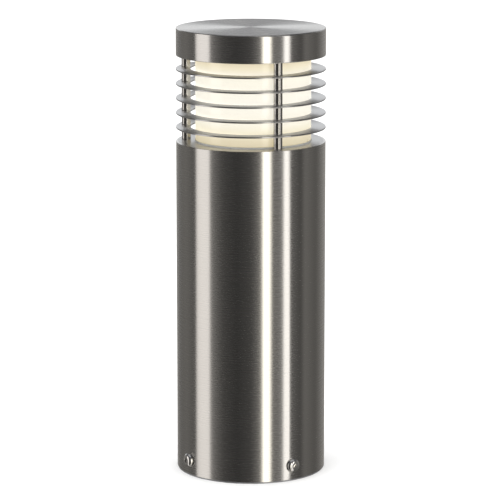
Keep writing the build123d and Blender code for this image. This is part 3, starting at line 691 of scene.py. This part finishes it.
def makeSideScrews():
    size = sideScrew
    pitch, head, rise, rim, lead = (size[name] for name in ("pitch", "head", "rise", "rim", "lead"))
    rings = [(-size["length"], even(size["crest"] - size["point"]))]
    rings += threadRings(size["crest"], size["root"], pitch, -size["length"] + size["point"], 0, pitch)
    rings += [(0, even(head - lead)), (lead, even(head)), (rim, even(head))]
    for step in range(1, size["domeSteps"] + 1):
        bend = math.pi / 2 * step / size["domeSteps"]
        radius = size["crown"] + (head - size["crown"]) * math.cos(bend)
        rings.append((rim + (rise - rim) * math.sin(bend), even(radius)))
    rings += [(rise, hexagon(size["socket"] + lead)), (rise - lead, hexagon(size["socket"]))]
    rings += [(rise - size["socketDepth"], hexagon(size["socket"]))]
    skin = lathe(rings, size["count"])
    for node, azimuth in screwAzimuths.items():
        number = node.split("_")[-1]
        place = outwards(azimuth, bodyRadius + size["seat"], screwHeight)
        makePiece(f"buttonScrew{number}", node, [(*skin, place)])


hexNuts = {
    "clamp_nuts": {"flats": 8.0 * mm, "height": 4.0 * mm, "bore": 2.55 * mm, "chamfer": 0.35 * mm},
    "rod_nuts": {"flats": 7.0 * mm, "height": 3.2 * mm, "bore": 2.05 * mm, "chamfer": 0.3 * mm},
}
# the chamfer in two cones: end face as a share of the flats, then where the cones meet, as a share
# of the chamfer's height and of the way from flat to corner
nutChamfer = {"face": 0.97, "meetHeight": 0.4, "meetReach": 0.45, "count": 72}


def nutSkin(size):
    flats, height, bore, drop = (size[name] for name in ("flats", "height", "bore", "chamfer"))
    flat = flats / 2
    face = even(flat * nutChamfer["face"])
    meet = hexagon(flats, flat + (cornerRadius(flats) - flat) * nutChamfer["meetReach"])
    meetDrop = drop * nutChamfer["meetHeight"]
    outer = [(0, face), (meetDrop, meet), (drop, hexagon(flats)),
             (height - drop, hexagon(flats)), (height - meetDrop, meet), (height, face)]
    inner = [(height, even(bore + drop)), (height - drop, even(bore)), (drop, even(bore)),
             (0, even(bore + drop))]
    return lathe(outer + inner, nutChamfer["count"], looped=True)


def makeNuts():
    size = hexNuts["clamp_nuts"]
    face = math.sqrt(spigotInside ** 2 - cornerRadius(size["flats"]) ** 2) - nutStandOff
    skin = nutSkin(size)
    places = [outwards(azimuth, face - size["height"], screwHeight) for azimuth in screwAzimuths.values()]
    makePiece("clampNuts", "clamp_nuts", [(*skin, place) for place in places])
    makePiece("rodNuts", "rod_nuts", onEachRod(nutSkin(hexNuts["rod_nuts"]), low("rod_nuts").z))


washer = {"radius": 4.2 * mm, "bore": 2.05 * mm, "edge": 0.15 * mm, "count": 64}


def makeWashers():
    radius, bore, edge = washer["radius"], washer["bore"], washer["edge"]
    bottom = low("rod_washers").z
    height = high("rod_washers").z - bottom
    outer = [(0, even(radius - edge)), (edge, even(radius)), (height - edge, even(radius)),
             (height, even(radius - edge))]
    inner = [(height, even(bore + edge)), (height - edge, even(bore)), (edge, even(bore)),
             (0, even(bore + edge))]
    skin = lathe(outer + inner, washer["count"], looped=True)
    makePiece("rodWashers", "rod_washers", onEachRod(skin, bottom))


stud = {"crest": 2.0 * mm, "root": 1.65 * mm, "pitch": 0.7 * mm, "point": 0.4 * mm, "lowThread": 9.0 * mm,
        "highThread": 12.0 * mm, "count": 36}


def makeStuds():
    crest, root, pitch, point = (stud[name] for name in ("crest", "root", "pitch", "point"))
    bottom = low("tie_rods").z
    length = high("tie_rods").z - bottom
    rings = [(0, even(crest - point))]
    for start, stop in ((point, stud["lowThread"]), (length - stud["highThread"], length - point)):
        rings += threadRings(crest, root, pitch, start, stop, pitch)
    rings.append((length, even(crest - point)))
    makePiece("tieStuds", "tie_rods", onEachRod(lathe(rings, stud["count"]), bottom))


# the run-out is in turns of the thread
lampThread = {"crest": 13.15 * mm, "root": 12.05 * mm, "pitch": 3.62 * mm, "lead": 1.0 * mm,
              "start": 1.4 * mm, "runOut": 1 / 3, "collar": 2.0 * mm, "steps": 12, "sharp": 50, "count": 96}


def makeLampCap():
    crest, root, pitch, lead = (lampThread[name] for name in ("crest", "root", "pitch", "lead"))
    bottom = low("lamp_cap").z
    length = high("lamp_cap").z - bottom
    collar = lampThread["collar"]
    rings = [(0, even(root - lead)), (lead, even(root))]
    rings += threadRings(crest, root, pitch, lampThread["start"], length - collar,
                         pitch * lampThread["runOut"], lampThread["steps"])
    rings += [(length - collar / 2, even(crest)), (length, even(crest))]
    skin = lathe(rings, lampThread["count"])
    makePiece("lampScrewCap", "lamp_cap", [(*skin, Matrix.Translation((0, 0, bottom)))], lampThread["sharp"])


glandNut = {"flats": 19.0 * mm, "bore": 8.05 * mm, "lidBore": 5.5 * mm, "lid": 2.5 * mm, "hexShare": 0.5,
            "ribs": 24, "ribDepth": 0.45 * mm, "dome": 9.2 * mm, "crown": 7.2 * mm, "edge": 0.4 * mm,
            "domeSteps": 6, "count": 192}


def makeGlandNut():
    # a hexagon below, a ribbed dome above, and a lid with a smaller bore
    size = glandNut
    flats, edge, crown = size["flats"], size["edge"], size["crown"]
    bottom = low("gland_nut").z
    height = high("gland_nut").z - bottom
    hexTop = height * size["hexShare"]
    domeBottom = hexTop + 2 * edge
    rings = [(0, hexagon(flats, cornerRadius(flats) - edge)), (edge, hexagon(flats)),
             (hexTop, hexagon(flats)), (hexTop + edge, hexagon(flats, flats / 2))]
    for step in range(size["domeSteps"] + 1):
        bend = math.pi / 2 * step / size["domeSteps"]
        radius = crown + (size["dome"] - crown) * math.cos(bend)
        section = ribbed(radius, size["ribDepth"] * math.cos(bend), size["ribs"])
        rings.append((domeBottom + (height - domeBottom) * math.sin(bend), section))
    rings += [(height, even(size["lidBore"] + edge)), (height - edge, even(size["lidBore"]))]
    rings += [(height - size["lid"], even(size["lidBore"])), (height - size["lid"], even(size["bore"]))]
    rings += [(0, even(size["bore"]))]
    skin = lathe(rings, size["count"], looped=True)
    makePiece("glandDomeNut", "gland_nut", [(*skin, Matrix.Translation((0, 0, bottom)))])


makeSideScrews()
makeNuts()
makeWashers()
makeStuds()
print("fasteners made")
makeLampCap()
makeGlandNut()
print("lamp cap and gland nut made")
